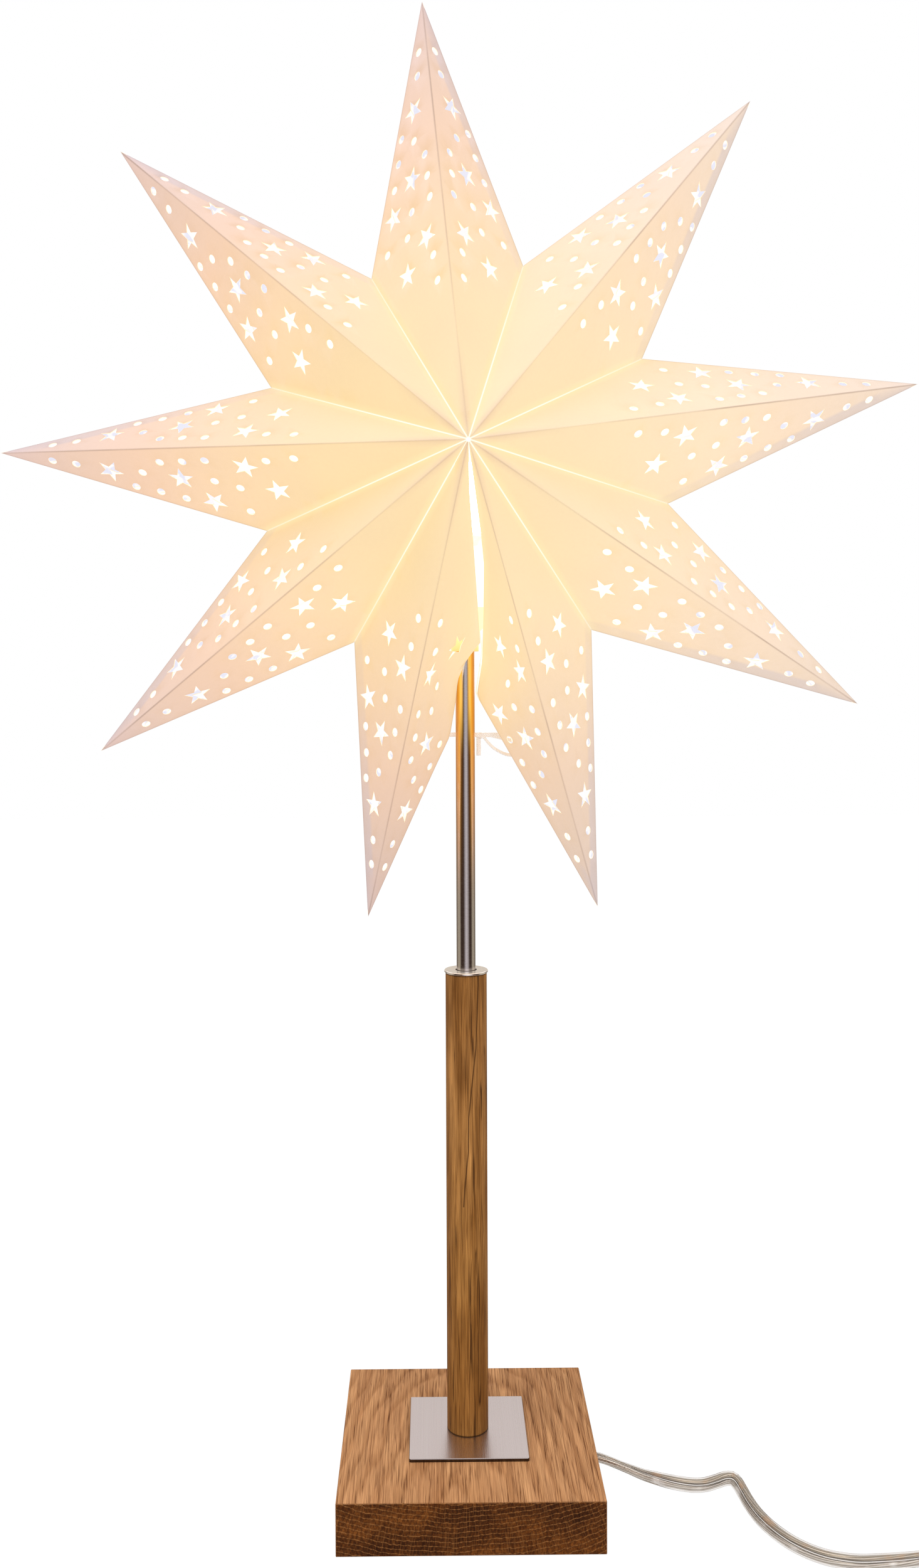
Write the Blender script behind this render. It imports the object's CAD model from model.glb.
# %% [markdown]
# # A lit paper star on an oak stand
# The part was built in CAD first, so every size is already fixed. This notebook dresses it: it loads the CAD
# frame, sets the camera where the photographer stood, and gives each piece its surface. Soft things (paper,
# cord, tape) are built again here as meshes, because CAD solids look too stiff for them.

# %% Load the frame
import math

import bpy
from mathutils import Matrix, Vector, geometry, noise


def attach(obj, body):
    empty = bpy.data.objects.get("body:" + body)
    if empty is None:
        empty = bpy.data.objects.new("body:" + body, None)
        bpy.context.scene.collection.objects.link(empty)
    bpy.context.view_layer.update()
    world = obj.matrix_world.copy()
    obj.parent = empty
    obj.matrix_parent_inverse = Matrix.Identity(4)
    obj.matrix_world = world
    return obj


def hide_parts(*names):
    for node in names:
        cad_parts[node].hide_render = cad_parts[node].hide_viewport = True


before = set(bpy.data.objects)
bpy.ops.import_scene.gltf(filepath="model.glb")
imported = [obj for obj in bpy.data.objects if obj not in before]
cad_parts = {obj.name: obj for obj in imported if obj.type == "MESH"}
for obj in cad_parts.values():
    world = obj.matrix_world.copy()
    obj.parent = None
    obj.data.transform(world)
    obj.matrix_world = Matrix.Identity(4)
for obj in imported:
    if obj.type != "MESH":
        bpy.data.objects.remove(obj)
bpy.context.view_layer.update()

# %% [markdown]
# ## The camera
# The lens was worked out from straight edges in the photo: the base, the plate, the stem and the tips of the
# star. The camera stands about 0.83 m in front of the lamp and 0.48 m above the table. Its picture was
# cropped off centre, so the lens is shifted and the camera itself is hardly turned.

# %% Camera
camera_data = bpy.data.cameras.new("photo_camera")
camera_data.sensor_width = 36.0
camera_data.lens = 32.0
camera_data.shift_x = 0.0093
camera_data.shift_y = -0.0506
camera_data.clip_end = 50.0
camera = bpy.data.objects.new("photo_camera", camera_data)
bpy.context.scene.collection.objects.link(camera)
bpy.context.scene.camera = camera

pitch, yaw, roll = math.radians(-1.08), math.radians(0.55), math.radians(-0.23)
look = Vector((math.sin(yaw) * math.cos(pitch), math.cos(yaw) * math.cos(pitch), math.sin(pitch)))
level_right = Vector((math.cos(yaw), -math.sin(yaw), 0.0))
level_up = level_right.cross(look)
right = math.cos(roll) * level_right + math.sin(roll) * level_up
up = -math.sin(roll) * level_right + math.cos(roll) * level_up
turn = Matrix((right, up, -look)).transposed().to_4x4()
camera.matrix_world = Matrix.Translation((-0.0201, -0.8345, 0.4843)) @ turn
bpy.context.scene.view_settings.view_transform = "Standard"
print("camera at", [round(v, 3) for v in camera.location], "lens", camera_data.lens)

# %% [markdown]
# ## Small helpers
# Materials in Blender are graphs of nodes. A few helpers keep the rest short: they add a node with its
# settings, do sums, blend colours, stretch noise, and start an empty material, node group or mesh. A value
# that never changes is typed into the socket, and only changing values are linked.


# %% Helpers
def node(tree, kind, inputs=None, **settings):
    made = tree.nodes.new(kind)
    for key, value in settings.items():
        setattr(made, key, value)
    for key, value in (inputs or {}).items():
        if isinstance(value, bpy.types.NodeSocket):
            tree.links.new(value, made.inputs[key])
        else:
            made.inputs[key].default_value = value
    return made


def math_node(tree, operation, a, b=0.0, clamp=False):
    return node(tree, "ShaderNodeMath", {0: a, 1: b}, operation=operation, use_clamp=clamp).outputs[0]


def map_range(tree, value, low, high, start=0.0, end=1.0, **settings):
    """Carries low to start and high to end, and goes no further at either end."""
    limits = {"Value": value, "From Min": low, "From Max": high, "To Min": start, "To Max": end}
    return node(tree, "ShaderNodeMapRange", limits, **settings).outputs[0]


def blend_colour(tree, factor, a, b, kind="MIX"):
    return node(tree, "ShaderNodeMix", {0: factor, 6: a, 7: b}, data_type="RGBA", blend_type=kind).outputs[2]


def stretched_noise(tree, place, stretch, detail, distortion=0.0, roughness=0.5):
    scaled = node(tree, "ShaderNodeVectorMath", {0: place, 1: stretch}, operation="MULTIPLY")
    made = node(tree, "ShaderNodeTexNoise", {"Vector": scaled.outputs[0], "Scale": 1.0, "Detail": detail,
                                             "Distortion": distortion, "Roughness": roughness})
    return made.outputs["Fac"]


def object_place(tree):
    return node(tree, "ShaderNodeTexCoord").outputs["Object"]


def object_facing(tree):
    return node(tree, "ShaderNodeSeparateXYZ", {0: node(tree, "ShaderNodeTexCoord").outputs["Normal"]})


def ramp(tree, factor, stops):
    made = node(tree, "ShaderNodeValToRGB", {"Fac": factor})
    points = made.color_ramp.elements
    while len(points) < len(stops):
        points.new(0.5)
    for point, (place, colour) in zip(points, stops):
        point.position = place
        point.color = colour
    return made.outputs["Color"]


def rgb(r, g, b):
    return (r, g, b, 1.0)


def grey(level):
    return rgb(level, level, level)


def start_material(name):
    made = bpy.data.materials.new(name)
    made.use_nodes = True
    made.node_tree.nodes.clear()
    out = made.node_tree.nodes.new("ShaderNodeOutputMaterial")
    return made, made.node_tree, out


def start_group(name, inputs, outputs):
    made = bpy.data.node_groups.new(name, "ShaderNodeTree")
    for label, kind, value in inputs:
        socket = made.interface.new_socket(name=label, in_out="INPUT", socket_type=kind)
        if value is not None:
            socket.default_value = value
    for label, kind in outputs:
        made.interface.new_socket(name=label, in_out="OUTPUT", socket_type=kind)
    return made, made.nodes.new("NodeGroupInput"), made.nodes.new("NodeGroupOutput")


def use_group(tree, group, inputs):
    return node(tree, "ShaderNodeGroup", inputs, node_tree=group)


def make_object(name, vertices, faces, body, material_list):
    mesh = bpy.data.meshes.new(name)
    mesh.from_pydata([tuple(v) for v in vertices], [], faces)
    mesh.update()
    for material in material_list:
        mesh.materials.append(material)
    made = bpy.data.objects.new(name, mesh)
    bpy.context.scene.collection.objects.link(made)
    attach(made, body)
    return made


def shade_smooth(thing):
    thing.data.polygons.foreach_set("use_smooth", [True] * len(thing.data.polygons))


def remember(thing, label, values):
    """Stores one number for each corner of a mesh, for its material to read."""
    layer = thing.data.attributes.new(label, "FLOAT", "POINT")
    layer.data.foreach_set("value", values)


# %% [markdown]
# ## Light and background
# The photo is a cut-out on pure white, so the camera sees a white world and a floor that is almost white by
# itself; only a trace of shadow is left under the base. Metal needs something to reflect, so mirror-like rays
# see a simple studio instead: bright above, a soft strip at the front with darkness on both sides of it, and
# tan edges. The two lamps stay out of these mirror-like rays, so that the plate doesn't show them as white
# patches.

# %% World, floor and lamps
studio_group, given, result = start_group("studio_bands", [("Direction", "NodeSocketVector", None)],
                                          [("Bands", "NodeSocketColor")])
tree = studio_group
axis = node(tree, "ShaderNodeSeparateXYZ", {0: given.outputs["Direction"]})
side_share = math_node(tree, "ABSOLUTE", axis.outputs["X"])
left_to_right = map_range(tree, axis.outputs["X"], -1.0, 1.0)
strip = ramp(tree, left_to_right, [
    (0.0, rgb(0.48, 0.42, 0.32)), (0.015, rgb(0.40, 0.34, 0.27)), (0.05, rgb(0.05, 0.03, 0.022)),
    (0.30, rgb(0.07, 0.045, 0.035)), (0.42, rgb(0.50, 0.46, 0.48)), (0.56, rgb(0.72, 0.68, 0.72)),
    (0.70, rgb(0.50, 0.46, 0.47)), (0.82, rgb(0.07, 0.045, 0.035)), (0.96, rgb(0.05, 0.03, 0.022)),
    (1.0, rgb(0.46, 0.40, 0.31))])
rear = ramp(tree, side_share, [
    (0.0, rgb(0.42, 0.37, 0.31)), (0.55, rgb(0.28, 0.24, 0.20)), (0.80, rgb(0.22, 0.18, 0.14)),
    (0.92, rgb(0.44, 0.38, 0.30)), (1.0, rgb(0.48, 0.42, 0.32))])
is_rear = map_range(tree, axis.outputs["Y"], -0.1, 0.1)
tree.links.new(blend_colour(tree, is_rear, strip, rear), result.inputs["Bands"])

world = bpy.data.worlds.new("studio")
bpy.context.scene.world = world
world.use_nodes = True
tree = world.node_tree
tree.nodes.clear()
direction = node(tree, "ShaderNodeTexCoord").outputs["Generated"]
axis = node(tree, "ShaderNodeSeparateXYZ", {0: direction})
bands = use_group(tree, studio_group, {"Direction": direction})
is_high = map_range(tree, axis.outputs["Z"], 0.30, 0.5)
studio = blend_colour(tree, is_high, bands.outputs["Bands"], rgb(0.74, 0.68, 0.67))
rays = node(tree, "ShaderNodeLightPath")
soft = node(tree, "ShaderNodeBackground", {"Color": rgb(0.97, 0.98, 1.0), "Strength": 0.62})
shiny = node(tree, "ShaderNodeBackground", {"Color": studio, "Strength": 1.0})
white = node(tree, "ShaderNodeBackground", {"Color": rgb(1.0, 1.0, 1.0), "Strength": 1.0})
mix_shiny = node(tree, "ShaderNodeMixShader", {0: rays.outputs["Is Glossy Ray"], 1: soft.outputs[0],
                                               2: shiny.outputs[0]})
seen = math_node(tree, "ADD", rays.outputs["Is Camera Ray"], rays.outputs["Is Transmission Ray"], True)
mix_camera = node(tree, "ShaderNodeMixShader", {0: seen, 1: mix_shiny.outputs[0],
                                                2: white.outputs[0]})
node(tree, "ShaderNodeOutputWorld", {"Surface": mix_camera.outputs[0]})

floor_material, tree, out = start_material("white_table")
rays = node(tree, "ShaderNodeLightPath")
speckle = node(tree, "ShaderNodeTexNoise", {"Scale": 3.0, "Detail": 2.0})
tint = ramp(tree, speckle.outputs["Fac"], [(0.3, rgb(0.80, 0.80, 0.80)), (0.7, rgb(0.84, 0.84, 0.84))])
matt = node(tree, "ShaderNodeBsdfPrincipled", {"Base Color": tint, "Roughness": 0.9})
glow = node(tree, "ShaderNodeEmission", {"Color": rgb(1.0, 1.0, 1.0), "Strength": 1.06})
seen = math_node(tree, "ADD", rays.outputs["Is Camera Ray"], rays.outputs["Is Transmission Ray"], True)
share = math_node(tree, "MULTIPLY", seen, 0.92)
spot = object_place(tree)
heading = node(tree, "ShaderNodeVectorMath", {0: spot}, operation="NORMALIZE")
bands = use_group(tree, studio_group, {"Direction": heading.outputs[0]})
reach = node(tree, "ShaderNodeVectorMath", {0: spot}, operation="LENGTH").outputs["Value"]
far = map_range(tree, reach, 0.3, 0.9)
mirrored = blend_colour(tree, far, rgb(0.70, 0.66, 0.64), bands.outputs["Bands"])
shiny = node(tree, "ShaderNodeEmission", {"Color": mirrored, "Strength": 1.0})
floor_shiny = node(tree, "ShaderNodeMixShader", {0: rays.outputs["Is Glossy Ray"], 1: matt.outputs[0],
                                                 2: shiny.outputs[0]})
floor_mix = node(tree, "ShaderNodeMixShader", {0: share, 1: floor_shiny.outputs[0], 2: glow.outputs[0]})
tree.links.new(floor_mix.outputs[0], out.inputs["Surface"])
bpy.ops.mesh.primitive_plane_add(size=8.0, location=(0.0, 0.0, -0.0004))
floor = bpy.context.object
floor.name = "white_table"
floor.data.materials.append(floor_material)


def add_area_light(name, place, aim, size, power, colour):
    data = bpy.data.lights.new(name, "AREA")
    data.shape = "DISK"
    data.size = size
    data.energy = power
    data.color = colour
    made = bpy.data.objects.new(name, data)
    bpy.context.scene.collection.objects.link(made)
    made.location = place
    made.rotation_euler = (Vector(aim) - Vector(place)).to_track_quat("-Z", "Y").to_euler()
    return made


softbox = add_area_light("top_softbox", (-0.5, -0.5, 2.2), (0.0, 0.0, 0.4), 1.6, 26.0, (1.0, 0.98, 0.97))
fill = add_area_light("front_fill", (0.9, -1.6, 0.9), (0.0, 0.0, 0.3), 1.2, 7.0, (1.0, 0.97, 0.95))
for lamp in (softbox, fill):
    lamp.visible_glossy = False
print("world, floor and two soft lamps are set")

# %% [markdown]
# ## The cord
# A clear flat twin cord: two stranded cores lie side by side in a clear sheath. It is swept as a tube: an
# outline is carried along a line of hand-placed points, turned at each point by a twist, because a flat cord
# rolls over as it bends. The photo shows it leaving the base edge-on, rolling flat, folding over a kink and
# running out to the right. The rest of its 1.8 m lies in a tied coil just outside the picture, with its
# switch and its plug.

# %% Cord route, in metres: x, y, lift off the table, twist in degrees
CORD_W, CORD_T = 0.008, 0.004
to_switch = [
    (0.075, 0.014, 0.0025, 0), (0.080, 0.0138, 0.0024, -6), (0.086, 0.011, 0.0016, -14),
    (0.092, 0.0076, 0.0008, -16), (0.099, 0.0036, 0.0002, -10), (0.106, -0.001, 0.0, 4),
    (0.113, -0.006, 0.0, 22), (0.120, -0.0105, 0.0, 40), (0.127, -0.0138, 0.0, 56),
    (0.134, -0.0156, 0.0, 66), (0.141, -0.0156, 0.0002, 74), (0.148, -0.0136, 0.0008, 76),
    (0.1535, -0.0120, 0.0016, 70), (0.1576, -0.0130, 0.0022, 60), (0.1598, -0.017, 0.0018, 56),
    (0.1612, -0.024, 0.0009, 57), (0.1626, -0.033, 0.0002, 58), (0.1646, -0.043, 0.0, 58),
    (0.1676, -0.0525, 0.0, 57), (0.1720, -0.062, 0.0, 56), (0.1778, -0.071, 0.0, 55),
    (0.1850, -0.0785, 0.0, 54), (0.1930, -0.0840, 0.0, 54), (0.2015, -0.0872, 0.0, 54),
    (0.211, -0.089, 0.0, 54), (0.222, -0.0886, 0.0, 54), (0.233, -0.0885, 0.0006, 46),
    (0.243, -0.0885, 0.002, 30), (0.252, -0.0885, 0.0042, 12), (0.258, -0.0885, 0.005, 0),
    (0.262, -0.0885, 0.005, 0),
]
to_coil = [
    (0.326, -0.0885, 0.005, 0), (0.331, -0.0885, 0.005, 0), (0.339, -0.0875, 0.0044, 10),
    (0.348, -0.084, 0.0032, 30), (0.357, -0.078, 0.002, 52), (0.365, -0.0695, 0.0014, 72),
    (0.3715, -0.0585, 0.0014, 86), (0.376, -0.045, 0.0014, 90), (0.3778, -0.032, 0.0014, 90),
    (0.378, -0.018, 0.0014, 90),
]
to_plug = [
    (0.378, -0.002, 0.010, 90), (0.378, 0.008, 0.010, 90), (0.3784, 0.017, 0.0096, 80),
    (0.3792, 0.026, 0.0082, 56), (0.3802, 0.035, 0.0064, 28), (0.381, 0.043, 0.0052, 8),
    (0.381, 0.050, 0.005, 0),
]
COIL_AT, COIL_TURNS, COIL_R, COIL_PITCH = (0.330, -0.010), 5, 0.048, 0.0052
COIL_LIFT, LAYER_GAP = 0.0014, 0.0006


def lying(route):
    points = []
    for x, y, lift, twist in route:
        rest = lift + CORD_T / 2 + (CORD_W - CORD_T) / 2 * abs(math.sin(math.radians(twist)))
        points.append((Vector((x, y, rest)), twist))
    return points


def coil_points(rings_per_turn):
    points = []
    for k in range(COIL_TURNS * rings_per_turn + 1):
        turns = k / rings_per_turn
        radius = COIL_R - COIL_PITCH * min(turns, COIL_TURNS - turns)
        climb = min(1.0, max(0.0, (turns - COIL_TURNS / 2 + 0.25) / 0.5))
        climb = climb * climb * (3 - 2 * climb)
        angle = 2 * math.pi * turns
        points.append((Vector((COIL_AT[0] + radius * math.cos(angle), COIL_AT[1] + radius * math.sin(angle),
                               COIL_LIFT + CORD_W / 2 + (CORD_W + LAYER_GAP) * climb)), 90))
    return points


def smooth_line(points, step):
    """Catmull-Rom: a curve through every point, with rings about a step apart."""
    line = []
    for k in range(len(points) - 1):
        before, start, end, after = (points[max(0, min(len(points) - 1, k + d))] for d in (-1, 0, 1, 2))
        count = max(1, round((end[0] - start[0]).length / step))
        for j in range(count):
            t = j / count
            place = 0.5 * (2 * start[0] + (end[0] - before[0]) * t
                           + (2 * before[0] - 5 * start[0] + 4 * end[0] - after[0]) * t * t
                           + (3 * start[0] - before[0] - 3 * end[0] + after[0]) * t * t * t)
            line.append((place, start[1] + (end[1] - start[1]) * t))
    line.append(points[-1])
    return line


def heading_at(places, k):
    return (places[min(k + 1, len(places) - 1)] - places[max(k - 1, 0)]).normalized()


def drawn_at(outline, place, wide, thin, offset=0.0):
    return [place + (x + offset) * wide + y * thin for x, y in outline]


def square_to(along, lean):
    """The part of a direction that stands square to the line."""
    return (lean - lean.dot(along) * along).normalized()


def rings_of(line, outline, offset=0.0):
    """Rings of an outline along a line; the twist turns the outline's first axis from level to upright."""
    places = [place for place, _ in line]
    rings = []
    for k, (place, twist) in enumerate(line):
        along = heading_at(places, k)
        level = Vector((-along.y, along.x, 0.0)).normalized()
        wide = math.cos(math.radians(twist)) * level + math.sin(math.radians(twist)) * along.cross(level)
        rings.append(drawn_at(outline, place, wide, along.cross(wide), offset))
    return rings


def skin(rings, first=0):
    count = len(rings[0])
    vertices = [v for ring in rings for v in ring]
    faces = []
    for i in range(len(rings) - 1):
        for j in range(count):
            a, b = first + i * count + j, first + i * count + (j + 1) % count
            faces.append((a, b, b + count, a + count))
    last = first + (len(rings) - 1) * count
    faces.append(tuple(first + j for j in reversed(range(count))))
    faces.append(tuple(last + j for j in range(count)))
    return vertices, faces


lobe, lobe_r = (CORD_W - CORD_T) / 2, CORD_T / 2
WAIST_SHARE = 0.72
LOBE_HALF_TURN, LOBE_STEP = 110, 22
sheath_outline = [(lobe + lobe_r * math.cos(math.radians(a)), lobe_r * math.sin(math.radians(a)))
                  for a in range(-LOBE_HALF_TURN, LOBE_HALF_TURN + 1, LOBE_STEP)]
sheath_outline += [(0.0, lobe_r * WAIST_SHARE)]
sheath_outline += [(-x, -y) for x, y in sheath_outline[:-1]]
sheath_outline += [(0.0, -lobe_r * WAIST_SHARE)]
CORE_R, CORE_OFF = 0.00128, 0.00148
core_outline = [(CORE_R * math.cos(math.radians(45 * k)), CORE_R * math.sin(math.radians(45 * k)))
                for k in range(8)]

RINGS_PER_TURN = 48
FINE_STEP, COARSE_STEP, PLUG_STEP = 0.0022, 0.004, 0.003
half_way_in = Vector((0.0, -0.004, 0.0))
coil_line = coil_points(RINGS_PER_TURN)
free_line = (smooth_line(lying(to_switch), FINE_STEP) + smooth_line(lying(to_coil), COARSE_STEP)
             + [(coil_line[0][0] + half_way_in, 90)] + coil_line
             + [(coil_line[-1][0] - half_way_in, 90)] + smooth_line(lying(to_plug), PLUG_STEP))
cord_length = sum((a[0] - b[0]).length for a, b in zip(free_line, free_line[1:]))
print("cord from base to plug:", round(cord_length, 3), "m in", len(free_line), "rings")

# %% [markdown]
# The sheath is clear plastic: light goes through it and bends a little. The cores are metal. Seven long
# stripes that wind slowly round each core stand for its twisted strands, and paler patches stand for the
# glints. One core is tinned and one is plain copper, as is usual in clear cord.

# %% Cord materials
sheath_material, tree, out = start_material("cord_sheath")
cloud = node(tree, "ShaderNodeTexNoise", {"Vector": object_place(tree),
                                          "Scale": 90.0, "Detail": 3.0})
clear_tint = ramp(tree, cloud.outputs["Fac"], [(0.3, rgb(0.94, 0.91, 0.88)), (0.7, rgb(0.86, 0.82, 0.78))])
ripple = node(tree, "ShaderNodeBump", {"Height": cloud.outputs["Fac"], "Strength": 0.15, "Distance": 0.0004})
sheath = node(tree, "ShaderNodeBsdfPrincipled", {
    "Base Color": clear_tint, "Roughness": 0.06, "IOR": 1.46, "Transmission Weight": 0.94,
    "Normal": ripple.outputs[0]})
tree.links.new(sheath.outputs[0], out.inputs["Surface"])

STRIPES_PER_METRE, STRAND_COUNT = 34.0, 7.0


def strand_material(name, light, dark, glint):
    made, tree, out = start_material(name)
    along = node(tree, "ShaderNodeAttribute", attribute_name="along").outputs["Fac"]
    around = node(tree, "ShaderNodeAttribute", attribute_name="around").outputs["Fac"]
    spiral = math_node(tree, "ADD", math_node(tree, "MULTIPLY", along, STRIPES_PER_METRE),
                       math_node(tree, "MULTIPLY", around, STRAND_COUNT))
    wave = math_node(tree, "SINE", math_node(tree, "MULTIPLY", spiral, math.tau))
    level = math_node(tree, "ADD", math_node(tree, "MULTIPLY", wave, 0.5), 0.5)
    colour = ramp(tree, level, [(0.1, dark), (0.75, light)])
    patches = node(tree, "ShaderNodeTexNoise", {"Vector": object_place(tree),
                                                "Scale": 75.0, "Detail": 2.0})
    shown = map_range(tree, patches.outputs["Fac"], 0.52, 0.64)
    colour = blend_colour(tree, math_node(tree, "MULTIPLY", shown, 0.7), colour, glint)
    relief = node(tree, "ShaderNodeBump", {"Height": level, "Strength": 0.35, "Distance": 0.0002})
    metal = node(tree, "ShaderNodeBsdfPrincipled", {"Base Color": colour, "Metallic": 0.85, "Roughness": 0.38,
                                                    "Normal": relief.outputs[0]})
    tree.links.new(metal.outputs[0], out.inputs["Surface"])
    return made


tinned = strand_material("tinned_strands", rgb(0.76, 0.71, 0.66), rgb(0.36, 0.31, 0.25),
                         rgb(0.96, 0.94, 0.93))
copper = strand_material("copper_strands", rgb(0.62, 0.55, 0.47), rgb(0.28, 0.23, 0.16),
                         rgb(0.60, 0.38, 0.22))

# %% Build the cord


def build_cord(name, line):
    vertices, faces = skin(rings_of(line, sheath_outline))
    kinds = [0] * len(faces)
    marks = [(0.0, 0.0)] * len(vertices)
    for kind, shift in ((1, -CORE_OFF), (2, CORE_OFF)):
        ring_list = rings_of(line, core_outline, shift)
        more, more_faces = skin(ring_list, len(vertices))
        distance = 0.0
        for k, (place, _) in enumerate(line):
            distance += (place - line[max(0, k - 1)][0]).length
            marks += [(distance, j / len(core_outline)) for j in range(len(core_outline))]
        vertices += more
        faces += more_faces
        kinds += [kind] * len(more_faces)
    made = make_object(name, vertices, faces, "stand", [sheath_material, tinned, copper])
    made.data.polygons.foreach_set("material_index", kinds)
    shade_smooth(made)
    for index, label in enumerate(("along", "around")):
        remember(made, label, [mark[index] for mark in marks])
    made.data.update()
    return made


free_cord = build_cord("cord_outside", free_line)
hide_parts("mains_cord", "lead_cord", "cord_coil", "tail_cord")

down_the_tube = [
    (0.0, 0.0, 0.506), (0.0, 0.0, 0.42), (0.0, 0.0, 0.31), (0.0, 0.0, 0.19), (0.0, 0.0, 0.044),
    (0.0, 0.0, 0.020), (0.0004, 0.0002, 0.014), (0.0018, 0.0009, 0.0104), (0.0046, 0.0026, 0.0064),
    (0.009, 0.0056, 0.0049), (0.015, 0.010, 0.0045), (0.021, 0.013, 0.0045), (0.028, 0.014, 0.0045),
    (0.045, 0.014, 0.0045), (0.060, 0.014, 0.0045), (0.0748, 0.014, 0.0045),
]
inner_sides = [90, 90, 90, 90, 90, 90, 95, 108, 118, 122, 122, 106, 94, 90, 90, 90]


def inner_rings(outline):
    places = [Vector(p) for p in down_the_tube]
    rings = []
    for k, place in enumerate(places):
        along = heading_at(places, k)
        side = math.radians(inner_sides[k])
        wide = square_to(along, Vector((math.cos(side), math.sin(side), 0.0)))
        rings.append(drawn_at(outline, place, wide, along.cross(wide)))
    return rings


vertices, faces = skin(inner_rings(sheath_outline))
inside_cord = make_object("cord_inside", vertices, faces, "stand", [sheath_material])
shade_smooth(inside_cord)
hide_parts("inner_cord")
print("cords built:", len(free_cord.data.vertices), "and", len(inside_cord.data.vertices), "vertices")

# %% [markdown]
# ## The paper star
# Each of the nine points has a front and a back that are folded along a ridge, so it has four flat faces that
# start at the tip. A face is drawn flat, as on the cutting table: its outline, five small stars and a scatter
# of dots are fed to a triangulation that leaves the holes open. Then every corner is carried to its place in
# space. The two lowest points meet at the seam in front of the tube. Their paper is bent, so their free edges
# are drawn as curves through hand-placed points.

# %% Star measures
STAR_R, VALLEY_R, HALF_DEPTH, PAPER_T = 0.276, 0.124, 0.094, 0.0004
STAR_AT = Vector((0.0, 0.0, 0.611))
SEAM_GAP = 29.0
EVEN_GAP = (360.0 - SEAM_GAP) / 8
gaps = [EVEN_GAP + 2.0, EVEN_GAP + 0.2, EVEN_GAP - 0.1, EVEN_GAP + 0.7, SEAM_GAP,
        EVEN_GAP - 1.5, EVEN_GAP - 1.8, EVEN_GAP - 0.6, EVEN_GAP + 1.1]
angles = [95.0]
for gap in gaps[:-1]:
    angles.append(angles[-1] - gap)
punched_stars = [(0.23, 0.56, 20), (0.38, 0.49, -10), (0.43, 0.77, 30), (0.53, 0.25, 5), (0.58, 0.60, -25)]
punched_dots = [(0.11, 0.51), (0.16, 0.51), (0.27, 0.84), (0.30, 0.48), (0.32, 0.82),
                (0.35, 0.24), (0.37, 0.83), (0.40, 0.21), (0.45, 0.18), (0.45, 0.46),
                (0.50, 0.50), (0.50, 0.79), (0.58, 0.21), (0.64, 0.22)]
STAR_HOLE, NOTCH_HOLE, DOT_HOLE = 0.0084, 0.0033, 0.0026
DOT_SIDES = 16
OPEN_CENTRE = 0.0016
EDGE_STEP, GRID_STEP, GRID_JITTER = 0.005, 0.010, 0.0016
EDGE_ROOM, HOLE_ROOM = 0.003, 0.0016
SLIVER, TOUCHING = 2e-9, 1e-7
SEAM_LIMIT, SEAM_FROM = 0.75, 0.40
BULGE, WAVE = 0.0011, 0.0005
DULL_LENGTH, DULL_WIDTH = 0.085, 0.0042
SLIT_GLOW_START, SLIT_GLOW_SPREAD, NO_VALLEY = 0.0008, 0.45, 0.02
# Free edges at the seam, measured from the star's centre, as (point, side, face): places from tip to centre
seam_edges = {
    (4, 1, -1): [(0.0199, 0.0, -0.160), (0.0154, -0.001, -0.152), (0.0119, -0.002, -0.146),
                 (0.0070, -0.0036, -0.1370), (0.0085, -0.009, -0.126), (0.0098, -0.015, -0.117),
                 (0.0098, -0.0215, -0.107), (0.0099, -0.034, -0.090), (0.0096, -0.052, -0.063),
                 (0.0076, -0.0630, -0.047), (0.0043, -0.0765, -0.027)],
    (4, 1, 1): [(0.0199, 0.0, -0.160), (0.0063, 0.0006, -0.136), (0.0112, 0.030, -0.1088)],
    (5, -1, -1): [(-0.0190, 0.0, -0.182), (-0.0092, -0.0048, -0.161), (-0.0058, -0.0085, -0.1406),
                  (-0.0046, -0.0100, -0.128), (-0.0012, -0.0110, -0.119), (0.0040, -0.0118, -0.1115),
                  (0.0088, -0.0125, -0.106), (0.0066, -0.0330, -0.083), (0.0032, -0.0590, -0.047),
                  (0.0009, -0.0765, -0.025)],
    (5, -1, 1): [(-0.0190, 0.0, -0.182), (0.0030, 0.01105, -0.108)],
}


def around(radius, degrees):
    return Vector((radius * math.cos(math.radians(degrees)), 0.0, radius * math.sin(math.radians(degrees))))


def natural_corner(i, side):
    seam = (i, side) in ((4, 1), (5, -1))
    gap = EVEN_GAP if seam else gaps[i] if side == 1 else gaps[i - 1]
    return around(VALLEY_R, angles[i] - side * gap / 2)


# %% [markdown]
# A hole must be clear of the next one and of the face's edge, and the paper between the holes needs enough
# corners to bend softly, so a loose grid of extra corners is strewn over the face. Blender's own
# triangulation joins them. Triangles that lie in a hole are thrown away, and so are slivers without area
# along the straight edges, because they would turn into small dark flecks once the paper gets its thickness.

# %% One flat face with its holes


def face_outline(ridge, corner, step):
    tip_end, apex, valley = Vector((0.0, 0.0)), Vector((ridge, 0.0)), Vector((corner.x, corner.y))
    start = apex - Vector((OPEN_CENTRE, 0.0))
    stop = apex + (valley - apex).normalized() * OPEN_CENTRE
    loop = []
    for a, b in ((tip_end, start), (start, stop), (stop, valley), (valley, tip_end)):
        count = max(1, round((b - a).length / step))
        loop += [a.lerp(b, k / count) for k in range(count)]
    return loop


def width_at(s, ridge, corner):
    return corner.y * s / corner.x if s < corner.x else corner.y * (ridge - s) / (ridge - corner.x)


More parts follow.
